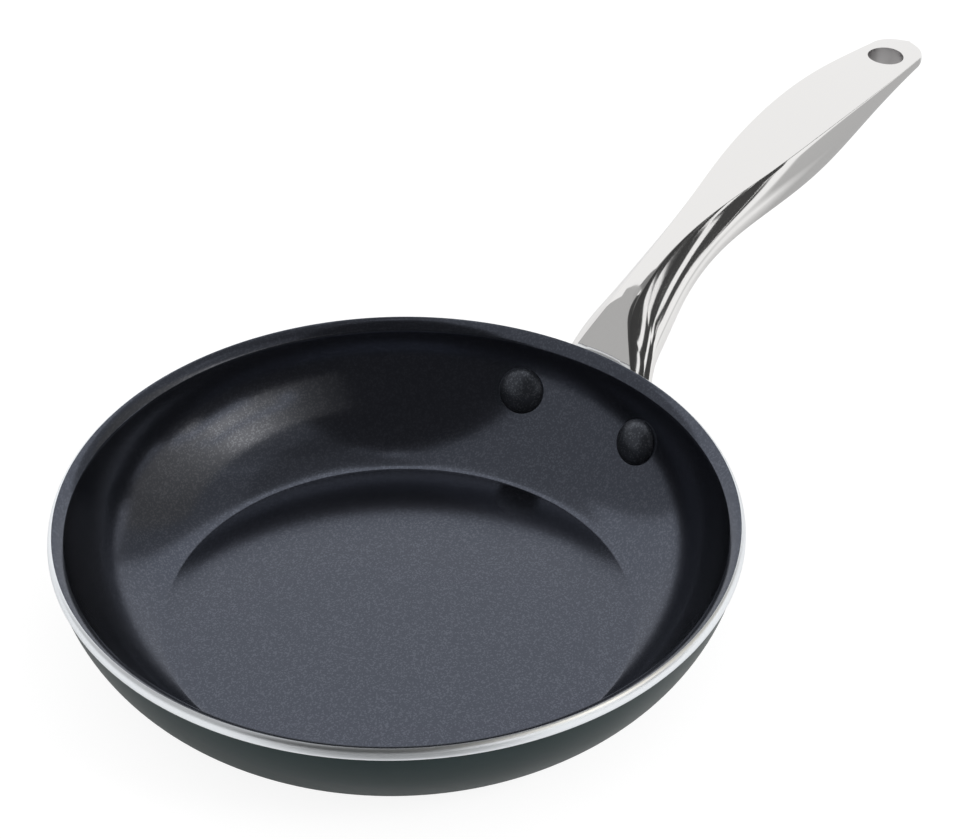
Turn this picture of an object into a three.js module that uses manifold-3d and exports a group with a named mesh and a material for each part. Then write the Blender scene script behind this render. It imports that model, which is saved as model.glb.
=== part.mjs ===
// A small non-stick frying pan: a pressed aluminium body with a ceramic lining and a lacquered
// outside, a steel disc in its base for induction hobs, and a hollow cast handle on two rivets.
// Millimetres, +Z up. The origin is the centre of the base's underside, and +X runs along the handle.
import * as THREE from "three";
import { LoftGeometry } from "three/addons/geometries/LoftGeometry.js";
import { mergeVertices } from "three/addons/utils/BufferGeometryUtils.js";
import Module from "manifold-3d";

// Pan
const PAN_HEIGHT = 40; // table to the top of the lip
const RIM_RADIUS = 100; // outer edge of the lip's top
const BASE_RADIUS = 69.4; // where the wall's outside would meet the table
const WALL_ARC_RADIUS = 47.8; // outside of the wall, in section
const FLOOR_HEIGHT = 4.6; // table to the inside floor, at the foot of the wall
const FLOOR_CROWN = 2.8; // the floor is higher in its middle
const BODY_WALL = 2.7; // aluminium of the wall
const LINING = 0.4; // ceramic layer inside
const COAT = 0.4; // lacquer layer outside
const LIP_FALL = 1.5; // the lip's top falls by this much towards the inside
const BEAD_HEIGHT = 3.7; // bare bead, from the lip's top to its foot
const BEAD_BULGE = 1.2; // the bead stands out past the lip's top
const BEAD_STEP = 0.7; // the bead stands out past the lacquered wall
const SEAT_GAP = 0.3; // between pieces that touch

// Induction disc
const DISC_MARGIN = 9.4; // lacquered ring left round the disc
const DISC_THICKNESS = 0.9;
const DISC_HOLE_RADIUS = 2.4;
const DISC_HOLE_EDGE = 10; // disc's edge to the middle of the outer ring of holes
const DISC_RINGS = 3;
const DISC_RING_STEP = 13; // from one ring of holes to the next
const DISC_RING_HOLES = 8; // holes in the inner ring, and as many more in each next one

// Rivets
const RIVET_SPACING = 43.3; // between the heads
const RIVET_DROP = 16.6; // lip's top down to the middle of a head
const HEAD_RADIUS = 7.1;
const HEAD_HEIGHT = 4.2;
const SHANK_RADIUS = 3;
const TAIL_RADIUS = 4.8;
const TAIL_HEIGHT = 2.2;

// Handle
const PLATE_END = 7.4; // a rivet's middle to the plate's end
const PLATE_HEIGHT = 25; // up the wall
const PLATE_THICKNESS = 3.4;
const PLATE_CORNER = 9;
const HANDLE_WALL = 2.2; // the casting is hollow
const CROWN = 0.5; // the top face is higher in its middle
const FLANK_FULLNESS = 0.7; // how far down the flanks bulge, as a share of the depth
const BELLY_FULLNESS = 0.68; // how square the belly is, as a share of its half width
const HOLE_RADIUS = 5.7; // hanging hole
const HOLE_SETBACK = 5.2; // from the middle of the tip's round back to the hole's middle
const HOLE_WALL = 5; // solid metal between the hollow and the hanging hole

// The loft's stations, from inside the wall, which trims them, to past the round tip. Step is from the
// station before, and rise from the lip up to the edge of the top face. Flare is how much wider the
// belly's control point lies than that edge. The tip is rounded off about the last station but one.
const ROOT_INSET = 16; // rim inwards to the first station
const STATIONS = [
  { step: 0, rise: -14, halfWidth: 12, flare: 13, depth: 16 },
  { step: 16, rise: -1, halfWidth: 11.2, flare: 13, depth: 27 },
  { step: 6, rise: 10.8, halfWidth: 6, flare: 15, depth: 26 },
  { step: 10, rise: 16.2, halfWidth: 3.3, flare: 14.6, depth: 23.2 },
  { step: 14, rise: 20.7, halfWidth: 3, flare: 11.3, depth: 19.3 },
  { step: 20, rise: 25, halfWidth: 4.7, flare: 7.5, depth: 16.2 },
  { step: 25, rise: 28.1, halfWidth: 8.7, flare: 4.8, depth: 17.6 },
  { step: 30, rise: 29.9, halfWidth: 11.3, flare: 3, depth: 18.5 },
  { step: 25, rise: 29, halfWidth: 11.2, flare: 2, depth: 11.8 },
  { step: 28.5, rise: 25.7, halfWidth: 8.7, flare: 0.9, depth: 6 },
  { step: 20, rise: 23.5, halfWidth: 6.4, flare: 0.6, depth: 4.2 },
];

// How finely round forms are cut
const TURN_STEPS = 60; // round the pan
const WALL_STEPS = 7; // up the wall
const FLOOR_STEPS = 2; // from the floor's middle to the wall
const BEAD_STEPS = 4;
const SPAN_STEPS = 3; // between two of the handle's stations
const CROWN_STEPS = 3;
const FLANK_STEPS = 8;
const TIP_STEPS = 6;
const PIN_STEPS = 16; // round rivets and their holes
const DOME_STEPS = 5;
const DISC_HOLE_STEPS = 8;

const wasm = await Module();
wasm.setup();

const vec2 = (x, y) => new THREE.Vector2(x, y);

// Solids from geometries, and back

function solid(geometry) {
  const bare = new THREE.BufferGeometry();
  bare.setAttribute("position", geometry.getAttribute("position"));
  bare.setIndex(geometry.getIndex());
  const merged = mergeVertices(bare, 1e-4);
  const corners = merged.index.array;
  const kept = [];
  for (let i = 0; i < corners.length; i += 3) {
    const [a, b, c] = corners.slice(i, i + 3);
    if (a !== b && b !== c && c !== a) kept.push(a, b, c);
  }
  const mesh = new wasm.Mesh({
    numProp: 3,
    vertProperties: merged.attributes.position.array,
    triVerts: new Uint32Array(kept),
  });
  return new wasm.Manifold(mesh);
}

function geometryOf(manifold) {
  const { vertProperties, triVerts } = manifold.getMesh();
  const geometry = new THREE.BufferGeometry();
  geometry.setAttribute("position", new THREE.BufferAttribute(vertProperties, 3));
  geometry.setIndex(new THREE.BufferAttribute(triVerts, 1));
  geometry.computeVertexNormals();
  return geometry;
}

// A profile of (radius, height) points turned about +Z. Its points may run either way round.
function revolve(profile, steps = TURN_STEPS) {
  const closed = profile[0].x > 0;
  const loop = closed ? [...profile, profile[0]] : profile;
  const points = THREE.ShapeUtils.area(profile) > 0 ? loop : [...loop].reverse();
  return new THREE.LatheGeometry(points, steps).rotateX(Math.PI / 2);
}

// The pan's wall: every layer is an arc about the same centre in section

const wallTop = vec2(RIM_RADIUS + BEAD_BULGE - BEAD_STEP, PAN_HEIGHT - BEAD_HEIGHT);
const wallFoot = vec2(BASE_RADIUS, 0);
const wallChord = wallTop.clone().sub(wallFoot);
const wallCentre = wallFoot
  .clone()
  .addScaledVector(wallChord, 0.5)
  .add(
    vec2(-wallChord.y, wallChord.x).setLength(
      Math.sqrt(WALL_ARC_RADIUS ** 2 - (wallChord.length() / 2) ** 2),
    ),
  );

const coatInside = WALL_ARC_RADIUS - COAT;
const bodyOutside = coatInside - SEAT_GAP;
const bodyInside = bodyOutside - BODY_WALL;
const liningOutside = bodyInside - SEAT_GAP;
const liningInside = liningOutside - LINING;

const angleAt = (radius, height) => Math.asin((height - wallCentre.y) / radius);

function onWall(radius, angle) {
  return vec2(wallCentre.x + radius * Math.cos(angle), wallCentre.y + radius * Math.sin(angle));
}

function wallArc(radius, fromHeight, toHeight) {
  const from = angleAt(radius, fromHeight);
  const to = angleAt(radius, toHeight);
  const at = (i) => onWall(radius, from + ((to - from) * i) / WALL_STEPS);
  return Array.from({ length: WALL_STEPS + 1 }, (_, i) => at(i));
}

// A floor from its crowned middle to just before the foot of the wall
function crownedFloor(radius, height) {
  const edge = onWall(radius, angleAt(radius, height)).x;
  const at = (share) => vec2(share * edge, height + FLOOR_CROWN * (1 - share * share));
  return Array.from({ length: FLOOR_STEPS }, (_, i) => at(i / FLOOR_STEPS));
}

const discRadius = BASE_RADIUS - DISC_MARGIN;
const bodyBottom = DISC_THICKNESS + SEAT_GAP;
const bodyFloor = FLOOR_HEIGHT - LINING - SEAT_GAP;
const bodyLip = PAN_HEIGHT - LINING - SEAT_GAP;
const beadFoot = PAN_HEIGHT - BEAD_HEIGHT;
const beadRadius = RIM_RADIUS + BEAD_BULGE;
const coatRing = DISC_THICKNESS - COAT; // underside of the lacquered ring round the disc

function bodyProfile() {
  const bead = new THREE.QuadraticBezierCurve(
    vec2(RIM_RADIUS, bodyLip),
    vec2(beadRadius, bodyLip),
    vec2(beadRadius, beadFoot),
  );
  return [
    ...crownedFloor(bodyInside, bodyFloor),
    ...wallArc(bodyInside, bodyFloor, bodyLip - LIP_FALL),
    ...bead.getPoints(BEAD_STEPS),
    ...wallArc(bodyOutside, beadFoot, bodyBottom),
    vec2(0, bodyBottom),
  ];
}

function liningProfile() {
  return [
    ...crownedFloor(liningInside, FLOOR_HEIGHT),
    ...wallArc(liningInside, FLOOR_HEIGHT, PAN_HEIGHT - LIP_FALL),
    vec2(RIM_RADIUS, PAN_HEIGHT),
    vec2(RIM_RADIUS, PAN_HEIGHT - LINING),
    ...wallArc(liningOutside, PAN_HEIGHT - LIP_FALL - LINING, FLOOR_HEIGHT - LINING),
    ...crownedFloor(liningOutside, FLOOR_HEIGHT - LINING).reverse(),
  ];
}

function coatProfile() {
  const inner = discRadius + SEAT_GAP;
  const top = beadFoot - SEAT_GAP;
  return [
    vec2(inner, coatRing),
    ...wallArc(WALL_ARC_RADIUS, coatRing, top),
    ...wallArc(coatInside, top, coatRing + COAT),
    vec2(inner, coatRing + COAT),
  ];
}

// The pan's hollow, and the pan filled up, each with the gap that a touching piece keeps
function hollowProfile() {
  const radius = liningInside - SEAT_GAP;
  const floor = FLOOR_HEIGHT + SEAT_GAP;
  return [vec2(0, floor), ...wallArc(radius, floor, PAN_HEIGHT), vec2(0, PAN_HEIGHT)];
}

function envelopeProfile() {
  const radius = WALL_ARC_RADIUS + SEAT_GAP;
  const rim = beadRadius + SEAT_GAP;
  const above = 2 * PAN_HEIGHT;
  return [
    vec2(0, -SEAT_GAP),
    ...wallArc(radius, -SEAT_GAP, beadFoot - SEAT_GAP),
    vec2(rim, beadFoot - SEAT_GAP),
    vec2(rim, above),
    vec2(0, above),
  ];
}

// Rivets: each axis stands square to the wall

const rivetTilt = angleAt(liningInside, PAN_HEIGHT - RIVET_DROP);
const rivetTurn = Math.asin(RIVET_SPACING / 2 / onWall(liningInside, rivetTilt).x);

// Turns a form made along +Z, with heights as distances from the wall's centre, onto a rivet's axis.
function ontoAxis(geometry, side, tilt = rivetTilt, turn = rivetTurn) {
  return geometry
    .rotateY(Math.PI / 2 - tilt)
    .translate(wallCentre.x, 0, wallCentre.y)
    .rotateZ(side * turn);
}

const plateInside = WALL_ARC_RADIUS + SEAT_GAP;
const plateOutside = plateInside + PLATE_THICKNESS;

function dome(radius, base, height) {
  const at = (i) => (i / DOME_STEPS) * (Math.PI / 2);
  return Array.from({ length: DOME_STEPS + 1 }, (_, i) =>
    vec2(radius * Math.cos(at(i)), base + height * Math.sin(at(i))),
  );
}

function rivet(side) {
  const headBase = liningInside - SEAT_GAP;
  const skirt = headBase + LINING + BODY_WALL;
  const tailBase = plateOutside + SEAT_GAP;
  const head = [vec2(0, skirt), vec2(HEAD_RADIUS, skirt), ...dome(HEAD_RADIUS, headBase, -HEAD_HEIGHT)];
  const pin = [
    vec2(0, headBase - HEAD_HEIGHT / 2),
    vec2(SHANK_RADIUS, headBase - HEAD_HEIGHT / 2),
    vec2(SHANK_RADIUS, tailBase),
    ...dome(TAIL_RADIUS, tailBase, TAIL_HEIGHT),
  ];
  const seated = solid(ontoAxis(revolve(head, PIN_STEPS), side)).intersect(solid(revolve(hollowProfile())));
  return seated.add(solid(ontoAxis(revolve(pin, PIN_STEPS), side)));
}

function rivetHole(side) {
  const radius = SHANK_RADIUS + SEAT_GAP;
  const length = plateOutside - liningInside + HEAD_HEIGHT + TAIL_HEIGHT;
  const middle = (plateOutside + liningInside) / 2;
  const bore = new THREE.CylinderGeometry(radius, radius, length, PIN_STEPS);
  return solid(ontoAxis(bore.rotateX(Math.PI / 2).translate(0, 0, middle), side));
}

const SIDES = { left: 1, right: -1 };

function drilled(piece) {
  return Object.values(SIDES).reduce((rest, side) => rest.subtract(rivetHole(side)), piece);
}

// Induction disc: rings of holes that the aluminium is pressed into

function inductionDisc() {
  const blank = new THREE.CylinderGeometry(discRadius, discRadius, DISC_THICKNESS, TURN_STEPS);
  let disc = solid(blank.rotateX(Math.PI / 2).translate(0, 0, DISC_THICKNESS / 2));
  for (let ring = 1; ring <= DISC_RINGS; ring++) {
    const count = DISC_RING_HOLES * ring;
    const radius = discRadius - DISC_HOLE_EDGE - (DISC_RINGS - ring) * DISC_RING_STEP;
    for (let i = 0; i < count; i++) {
      const punch = new THREE.CylinderGeometry(
        DISC_HOLE_RADIUS,
        DISC_HOLE_RADIUS,
        4 * DISC_THICKNESS,
        DISC_HOLE_STEPS,
      );
      const turn = (2 * Math.PI * i) / count;
      disc = disc.subtract(solid(punch.rotateX(Math.PI / 2).translate(radius, 0, 0).rotateZ(turn)));
    }
  }
  return disc;
}

// Handle

// How far each station lies from the rim
const reaches = [];
STATIONS.reduce((reach, { step }) => {
  reaches.push(reach + step);
  return reach + step;
}, -ROOT_INSET);
const tipStation = STATIONS.length - 2;
const tipReach = reaches[tipStation];
const tipRadius = STATIONS[tipStation].halfWidth;
const holeReach = tipReach - HOLE_SETBACK;
const spans = (STATIONS.length - 1) * SPAN_STEPS;

const along = (key) => new THREE.SplineCurve(STATIONS.map((s, i) => vec2(reaches[i], s[key])));
const curves = {
  rise: along("rise"),
  halfWidth: along("halfWidth"),
  flare: along("flare"),
  depth: along("depth"),
};

// The loft's sizes at a place along the stations, which t counts from 0 to 1.
function sizesAt(t) {
  return {
    reach: curves.rise.getPoint(t).x,
    rise: curves.rise.getPoint(t).y,
    halfWidth: curves.halfWidth.getPoint(t).y,
    flare: curves.flare.getPoint(t).y,
    depth: curves.depth.getPoint(t).y,
  };
}

// One side of a section from the middle of the top face to the bottom, as (half width, height).
function halfSection({ rise, halfWidth, flare, depth }, crown) {
  const belly = halfWidth + flare;
  const top = new THREE.QuadraticBezierCurve(
    vec2(0, rise + crown),
    vec2(halfWidth / 2, rise + crown),
    vec2(halfWidth, rise),
  );
  const flank = new THREE.CubicBezierCurve(
    vec2(halfWidth, rise),
    vec2(belly, rise - FLANK_FULLNESS * depth),
    vec2(BELLY_FULLNESS * belly, rise - depth),
    vec2(0, rise - depth),
  );
  return [...top.getPoints(CROWN_STEPS), ...flank.getPoints(FLANK_STEPS).slice(1)];
}

function section(sizes, crown, narrowing = 1) {
  const half = halfSection(sizes, crown);
  const place = (side) => (p) =>
    new THREE.Vector3(RIM_RADIUS + sizes.reach, side * narrowing * p.x, PAN_HEIGHT + p.y);
  return [...half.map(place(-1)), ...half.slice(1, -1).reverse().map(place(1))];
}

// The sizes at a given reach, found by halving the stretch that holds it.
function sizesAtReach(reach) {
  let low = 0;
  let high = 1;
  for (let i = 0; i < 40; i++) {
    const middle = (low + high) / 2;
    if (sizesAt(middle).reach < reach) low = middle;
    else high = middle;
  }
  return sizesAt(low);
}

function castingOutside() {
  const sections = [];
  for (let i = 0; i < tipStation * SPAN_STEPS; i++) {
    sections.push(section(sizesAt(i / spans), CROWN));
  }
  for (let i = 0; i < TIP_STEPS; i++) {
    const turn = ((i / TIP_STEPS) * Math.PI) / 2;
    const sizes = sizesAtReach(tipReach + tipRadius * Math.sin(turn));
    sections.push(section(sizes, CROWN, (tipRadius * Math.cos(turn)) / sizes.halfWidth));
  }
  return new LoftGeometry(sections, { capStart: true, capEnd: true });
}

function castingHollow() {
  const sections = [];
  const end = holeReach - HOLE_RADIUS - HOLE_WALL;
  for (let i = 0; i <= spans; i += 2) {
    const sizes = sizesAt(i / spans);
    if (sizes.reach > end) break;
    sections.push(section(inset(sizes), 0));
  }
  sections.push(section(inset(sizesAtReach(end)), 0));
  return new LoftGeometry(sections, { capStart: true, capEnd: true });
}

// The hollow's sizes inside the casting's. Its top narrows less where the top face is narrow already.
function inset(sizes) {
  const halfWidth = sizes.halfWidth / (1 + HANDLE_WALL / sizes.halfWidth);
  return {
    reach: sizes.reach,
    rise: sizes.rise - HANDLE_WALL,
    halfWidth,
    flare: sizes.halfWidth + sizes.flare - HANDLE_WALL - halfWidth,
    depth: sizes.depth - 2 * HANDLE_WALL,
  };
}

// The rivet plate: a band of the wall's own curve, cut to a rounded outline square to the rivets.
function rivetPlate() {
  const reachAngle = (0.75 * PLATE_HEIGHT) / plateInside;
  const low = rivetTilt - reachAngle;
  const high = rivetTilt + reachAngle;
  const arc = (radius, from, to) =>
    Array.from({ length: WALL_STEPS + 1 }, (_, i) => onWall(radius, from + ((to - from) * i) / WALL_STEPS));
  const band = revolve([...arc(plateInside, low, high), ...arc(plateOutside, high, low)]);
  const x = PLATE_HEIGHT / 2;
  const y = onWall(plateOutside, rivetTilt).x * Math.sin(rivetTurn) + PLATE_END;
  const outline = new THREE.Shape()
    .moveTo(-x + PLATE_CORNER, -y)
    .lineTo(x - PLATE_CORNER, -y)
    .absarc(x - PLATE_CORNER, -y + PLATE_CORNER, PLATE_CORNER, -Math.PI / 2, 0)
    .absarc(x - PLATE_CORNER, y - PLATE_CORNER, PLATE_CORNER, 0, Math.PI / 2)
    .absarc(-x + PLATE_CORNER, y - PLATE_CORNER, PLATE_CORNER, Math.PI / 2, Math.PI)
    .absarc(-x + PLATE_CORNER, -y + PLATE_CORNER, PLATE_CORNER, Math.PI, 1.5 * Math.PI);
  const block = new THREE.ExtrudeGeometry(outline, { depth: WALL_ARC_RADIUS, bevelEnabled: false });
  return solid(band).intersect(solid(ontoAxis(block.translate(0, 0, WALL_ARC_RADIUS / 2), 0)));
}

function castHandle() {
  const hanging = new THREE.CylinderGeometry(HOLE_RADIUS, HOLE_RADIUS, PAN_HEIGHT, PIN_STEPS)
    .rotateX(Math.PI / 2)
    .translate(RIM_RADIUS + holeReach, 0, PAN_HEIGHT + STATIONS[tipStation].rise);
  const casting = solid(castingOutside())
    .subtract(solid(castingHollow()))
    .add(rivetPlate())
    .subtract(solid(revolve(envelopeProfile())))
    .subtract(solid(hanging));
  return drilled(casting);
}

// The assembly

const FINISHES = {
  aluminium: { color: 0xdfe0e0, roughness: 0.2, metalness: 1 },
  ceramic: { color: 0x1d2027, roughness: 0.45, metalness: 0 },
  lacquer: { color: 0x232b2b, roughness: 0.3, metalness: 0 },
  steel: { color: 0xb9bbbb, roughness: 0.35, metalness: 1 },
  polished: { color: 0xe8e6e3, roughness: 0.06, metalness: 1 },
};

function piece(name, shape, finish) {
  const mesh = new THREE.Mesh(geometryOf(shape), new THREE.MeshStandardMaterial(FINISHES[finish]));
  mesh.name = name;
  return mesh;
}

const pan = new THREE.Group();
pan.add(
  piece("pan_body", drilled(solid(revolve(bodyProfile()))), "aluminium"),
  piece("nonstick_lining", drilled(solid(revolve(liningProfile()))), "ceramic"),
  piece("outer_coat", drilled(solid(revolve(coatProfile()))), "lacquer"),
  piece("induction_base", inductionDisc(), "steel"),
  piece("handle", castHandle(), "polished"),
);
for (const [name, side] of Object.entries(SIDES)) {
  pan.add(piece(`rivet_${name}`, rivet(side), "ceramic"));
}

export default pan;
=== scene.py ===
# %% [markdown]
# # A small non-stick frying pan
# The pan is an aluminium pressing that is coated twice: black ceramic inside, dark lacquer outside.
# Only a bead round the rim is left bare. A steel disc in the base makes it work on induction hobs,
# and a hollow cast handle is held behind the rim by two rivets.
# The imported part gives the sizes, and every piece below stands where its solid stands.

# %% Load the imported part
import math
from bisect import bisect_right

import bmesh
import bpy
import numpy as np
from mathutils import Matrix, Vector


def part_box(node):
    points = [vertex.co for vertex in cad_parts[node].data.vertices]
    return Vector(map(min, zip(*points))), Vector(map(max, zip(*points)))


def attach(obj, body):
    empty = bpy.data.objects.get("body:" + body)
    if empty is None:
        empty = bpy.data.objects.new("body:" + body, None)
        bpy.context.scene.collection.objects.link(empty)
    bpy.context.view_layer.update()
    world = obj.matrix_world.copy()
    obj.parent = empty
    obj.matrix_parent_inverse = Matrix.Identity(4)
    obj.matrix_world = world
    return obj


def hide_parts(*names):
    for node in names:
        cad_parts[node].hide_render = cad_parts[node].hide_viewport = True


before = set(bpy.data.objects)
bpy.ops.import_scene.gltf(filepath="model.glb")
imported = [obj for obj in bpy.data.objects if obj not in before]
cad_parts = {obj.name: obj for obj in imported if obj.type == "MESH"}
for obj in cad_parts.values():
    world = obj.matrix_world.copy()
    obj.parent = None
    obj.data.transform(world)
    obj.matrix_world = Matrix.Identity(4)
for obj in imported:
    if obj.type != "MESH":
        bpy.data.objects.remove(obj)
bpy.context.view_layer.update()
print("solids:", sorted(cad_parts))

# %% [markdown]
# ## The pan's section
# A turned piece is described by half of its section. Here every layer of the wall is an arc about
# one centre, so that centre is worked out once and each layer only needs its own radius.
# Lengths are in millimetres while a piece is being shaped, and become metres when it is finished.

# %% Sizes of the pan
MM = 0.001
BASE_RADIUS = 69.4
WALL_ARC = 47.8
BODY_WALL = 2.7
COAT = 0.4
SEAT_GAP = 0.3
FLOOR_CROWN = 2.8
BEAD_STEP = 0.7
BEAD_HEIGHT = 3.7
LIP_FALL = 1.5
DISC_THICKNESS = 0.9
HAIR = 0.02  # what the finished pieces leave between them

lining_low, lining_high = (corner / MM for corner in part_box("nonstick_lining"))
FLOOR_HEIGHT = lining_low.z + COAT
PAN_HEIGHT = lining_high.z
RIM_RADIUS = lining_high.x
BEAD_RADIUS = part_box("pan_body")[1].x / MM - HAIR
BEAD_FOOT = PAN_HEIGHT - BEAD_HEIGHT

foot = Vector((BASE_RADIUS, 0))
top = Vector((BEAD_RADIUS + HAIR - BEAD_STEP, BEAD_FOOT))
chord = top - foot
rise_of_arc = math.sqrt(WALL_ARC**2 - (chord.length / 2) ** 2)
WALL_CENTRE = foot + chord / 2 + Vector((-chord.y, chord.x)).normalized() * rise_of_arc

BODY_OUTSIDE = WALL_ARC - COAT - SEAT_GAP
BODY_INSIDE = BODY_OUTSIDE - BODY_WALL
LINING_INSIDE = BODY_INSIDE - SEAT_GAP - COAT
print(f"wall centre at {WALL_CENTRE.x:.2f}, {WALL_CENTRE.y:.2f} mm, floor at {FLOOR_HEIGHT:.2f} mm")

# %% Points on the wall
WALL_STEPS = 40


def tilt_at(radius, height):
    return math.asin((height - WALL_CENTRE.y) / radius)


def on_wall(radius, tilt):
    return WALL_CENTRE + radius * Vector((math.cos(tilt), math.sin(tilt)))


def wall_arc(radius, start, end, steps=WALL_STEPS):
    low, high = tilt_at(radius, start), tilt_at(radius, end)
    return [on_wall(radius, low + (high - low) * i / steps) for i in range(steps + 1)]


def bezier(points, t):
    while len(points) > 1:
        points = [(1 - t) * a + t * b for a, b in zip(points, points[1:])]
    return points[0]


print("points in each arc of the wall:", WALL_STEPS + 1)

# %% [markdown]
# ## Three helpers: spin, carve and finish
# Spin turns a section into a round piece, as a lathe does. Carve drills, joins or trims a shell with
# another, by a Boolean that is applied at once. Finish welds nothing and moves nothing: it marks the
# sharp edges, gives the mesh its material and puts it on the part's only body.

# %% Spin, carve and finish
TURN_STEPS = 192
WELD = 1e-4
CREASE = math.radians(38)


def spun(section, steps=TURN_STEPS, ring=False):
    bm = bmesh.new()
    points = [bm.verts.new((radius, 0, height)) for radius, height in section]
    pairs = list(zip(points, points[1:])) + ([(points[-1], points[0])] if ring else [])
    edges = [bm.edges.new(pair) for pair in pairs]
    bmesh.ops.spin(
        bm, geom=points + edges, cent=(0, 0, 0), axis=(0, 0, 1),
        angle=math.tau, steps=steps, use_merge=True,
    )
    bmesh.ops.remove_doubles(bm, verts=bm.verts, dist=WELD)
    bmesh.ops.recalc_face_normals(bm, faces=bm.faces)
    return bm


def scratch(bm):
    mesh = bpy.data.meshes.new("scratch")
    bm.to_mesh(mesh)
    bm.free()
    held = bpy.data.objects.new("scratch", mesh)
    bpy.context.scene.collection.objects.link(held)
    return held


def carve(bm, tool, how):
    block, cutter = scratch(bm), scratch(tool)
    boolean = block.modifiers.new("carve", "BOOLEAN")
    boolean.object = cutter
    boolean.operation = how
    boolean.solver = "EXACT"
    shape = block.evaluated_get(bpy.context.evaluated_depsgraph_get())
    carved = bmesh.new()
    carved.from_mesh(shape.to_mesh())
    shape.to_mesh_clear()
    for held in (block, cutter):
        mesh = held.data
        bpy.data.objects.remove(held)
        bpy.data.meshes.remove(mesh)
    return carved


def finish(bm, name, material, slot, *nodes):
    for face in bm.faces:
        face.smooth = True
    for edge in bm.edges:
        edge.smooth = edge.calc_face_angle(0) < CREASE
    mesh = bpy.data.meshes.new(name)
    bm.to_mesh(mesh)
    bm.free()
    mesh.transform(Matrix.Scale(MM, 4))
    mesh.materials.append(material)
    piece = bpy.data.objects.new(name, mesh)
    bpy.context.scene.collection.objects.link(piece)
    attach(piece, "root")
    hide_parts(*nodes)
    print(name, "faces:", len(mesh.polygons))
    return piece


# %% [markdown]
# ## Shared surface effects
# Real finishes are never even. Four small node groups hold what several materials share: metal flakes
# in a coat, the fine grain of a sprayed layer, the rings that a lathe leaves, and the faint marks of
# handling. Each puts out masks or heights, and the material decides what they do.

# %% Helpers for nodes
def node(tree, kind, **values):
    made = tree.nodes.new(kind)
    for name, value in values.items():
        if hasattr(made, name):
            setattr(made, name, value)
        else:
            made.inputs[name.replace("_", " ")].default_value = value
    return made


def wire(tree, *sockets):
    for start, end in zip(sockets[::2], sockets[1::2]):
        tree.links.new(start, end)


def effect(name, inputs, outputs):
    tree = bpy.data.node_groups.new(name, "ShaderNodeTree")
    for label, value in inputs.items():
        socket = tree.interface.new_socket(label, in_out="INPUT", socket_type="NodeSocketFloat")
        socket.default_value = value
    for label in outputs:
        tree.interface.new_socket(label, in_out="OUTPUT", socket_type="NodeSocketFloat")
    place = node(tree, "ShaderNodeTexCoord").outputs["Object"]
    given = node(tree, "NodeGroupInput").outputs
    made = node(tree, "NodeGroupOutput").inputs
    return tree, place, given, made


# %% Metal flakes in a coat
flakes, place, given, made = effect("flakes", {"Scale": 2500, "Share": 0.2}, ["Flake", "Shade"])
cells = node(flakes, "ShaderNodeTexVoronoi", feature="F1")
split = node(flakes, "ShaderNodeSeparateColor")
least = node(flakes, "ShaderNodeMath", operation="SUBTRACT")
least.inputs[0].default_value = 1
chosen = node(flakes, "ShaderNodeMath", operation="GREATER_THAN")
wire(flakes, place, cells.inputs["Vector"], given["Scale"], cells.inputs["Scale"])
wire(flakes, cells.outputs["Color"], split.inputs["Color"], given["Share"], least.inputs[1])
wire(flakes, split.outputs["Red"], chosen.inputs[0], least.outputs[0], chosen.inputs[1])
wire(flakes, chosen.outputs[0], made["Flake"], split.outputs["Green"], made["Shade"])

# %% Grain of a sprayed layer
spray, place, given, made = effect("spray grain", {"Scale": 900, "Detail": 3}, ["Height", "Patches"])
fine = node(spray, "ShaderNodeTexNoise", Roughness=0.6)
broad = node(spray, "ShaderNodeTexNoise", Scale=35, Detail=2)
wire(spray, place, fine.inputs["Vector"], given["Scale"], fine.inputs["Scale"])
wire(spray, given["Detail"], fine.inputs["Detail"], place, broad.inputs["Vector"])
wire(spray, fine.outputs["Fac"], made["Height"], broad.outputs["Fac"], made["Patches"])

# %% Rings that a lathe leaves
rings, place, given, made = effect("turned rings", {"Scale": 4000}, ["Height"])
flat = node(rings, "ShaderNodeVectorMath", operation="MULTIPLY")
flat.inputs[1].default_value = (1, 1, 0)
far = node(rings, "ShaderNodeVectorMath", operation="LENGTH")
upright = node(rings, "ShaderNodeSeparateXYZ")
path = node(rings, "ShaderNodeMath", operation="ADD")
lines = node(rings, "ShaderNodeTexNoise", noise_dimensions="1D", Detail=3, Roughness=0.7)
wire(rings, place, flat.inputs[0], flat.outputs[0], far.inputs[0], place, upright.inputs[0])
wire(rings, far.outputs["Value"], path.inputs[0], upright.outputs["Z"], path.inputs[1])
wire(rings, path.outputs[0], lines.inputs["W"], given["Scale"], lines.inputs["Scale"])
wire(rings, lines.outputs["Fac"], made["Height"])

# %% Marks of handling
marks, place, given, made = effect("handling marks", {"Scale": 60, "Stretch": 9}, ["Smears", "Scuffs"])
smears = node(marks, "ShaderNodeTexNoise", Detail=4, Distortion=0.6)
stretch = node(marks, "ShaderNodeCombineXYZ", X=1, Z=1)
drawn = node(marks, "ShaderNodeVectorMath", operation="MULTIPLY")
scuffs = node(marks, "ShaderNodeTexNoise", Scale=240, Detail=2)
wire(marks, place, smears.inputs["Vector"], given["Scale"], smears.inputs["Scale"])
wire(marks, given["Stretch"], stretch.inputs["Y"], place, drawn.inputs[0])
wire(marks, stretch.outputs[0], drawn.inputs[1], drawn.outputs[0], scuffs.inputs["Vector"])
wire(marks, smears.outputs["Fac"], made["Smears"], scuffs.outputs["Fac"], made["Scuffs"])
print("effects:", [group.name for group in bpy.data.node_groups])


# %% A material with its shader
def material(name, **values):
    made = bpy.data.materials.new(name)
    made.use_nodes = True
    shader = made.node_tree.nodes["Principled BSDF"]
    for label, value in values.items():
        shader.inputs[label.replace("_", " ")].default_value = value
    return made, made.node_tree, shader.inputs


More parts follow.
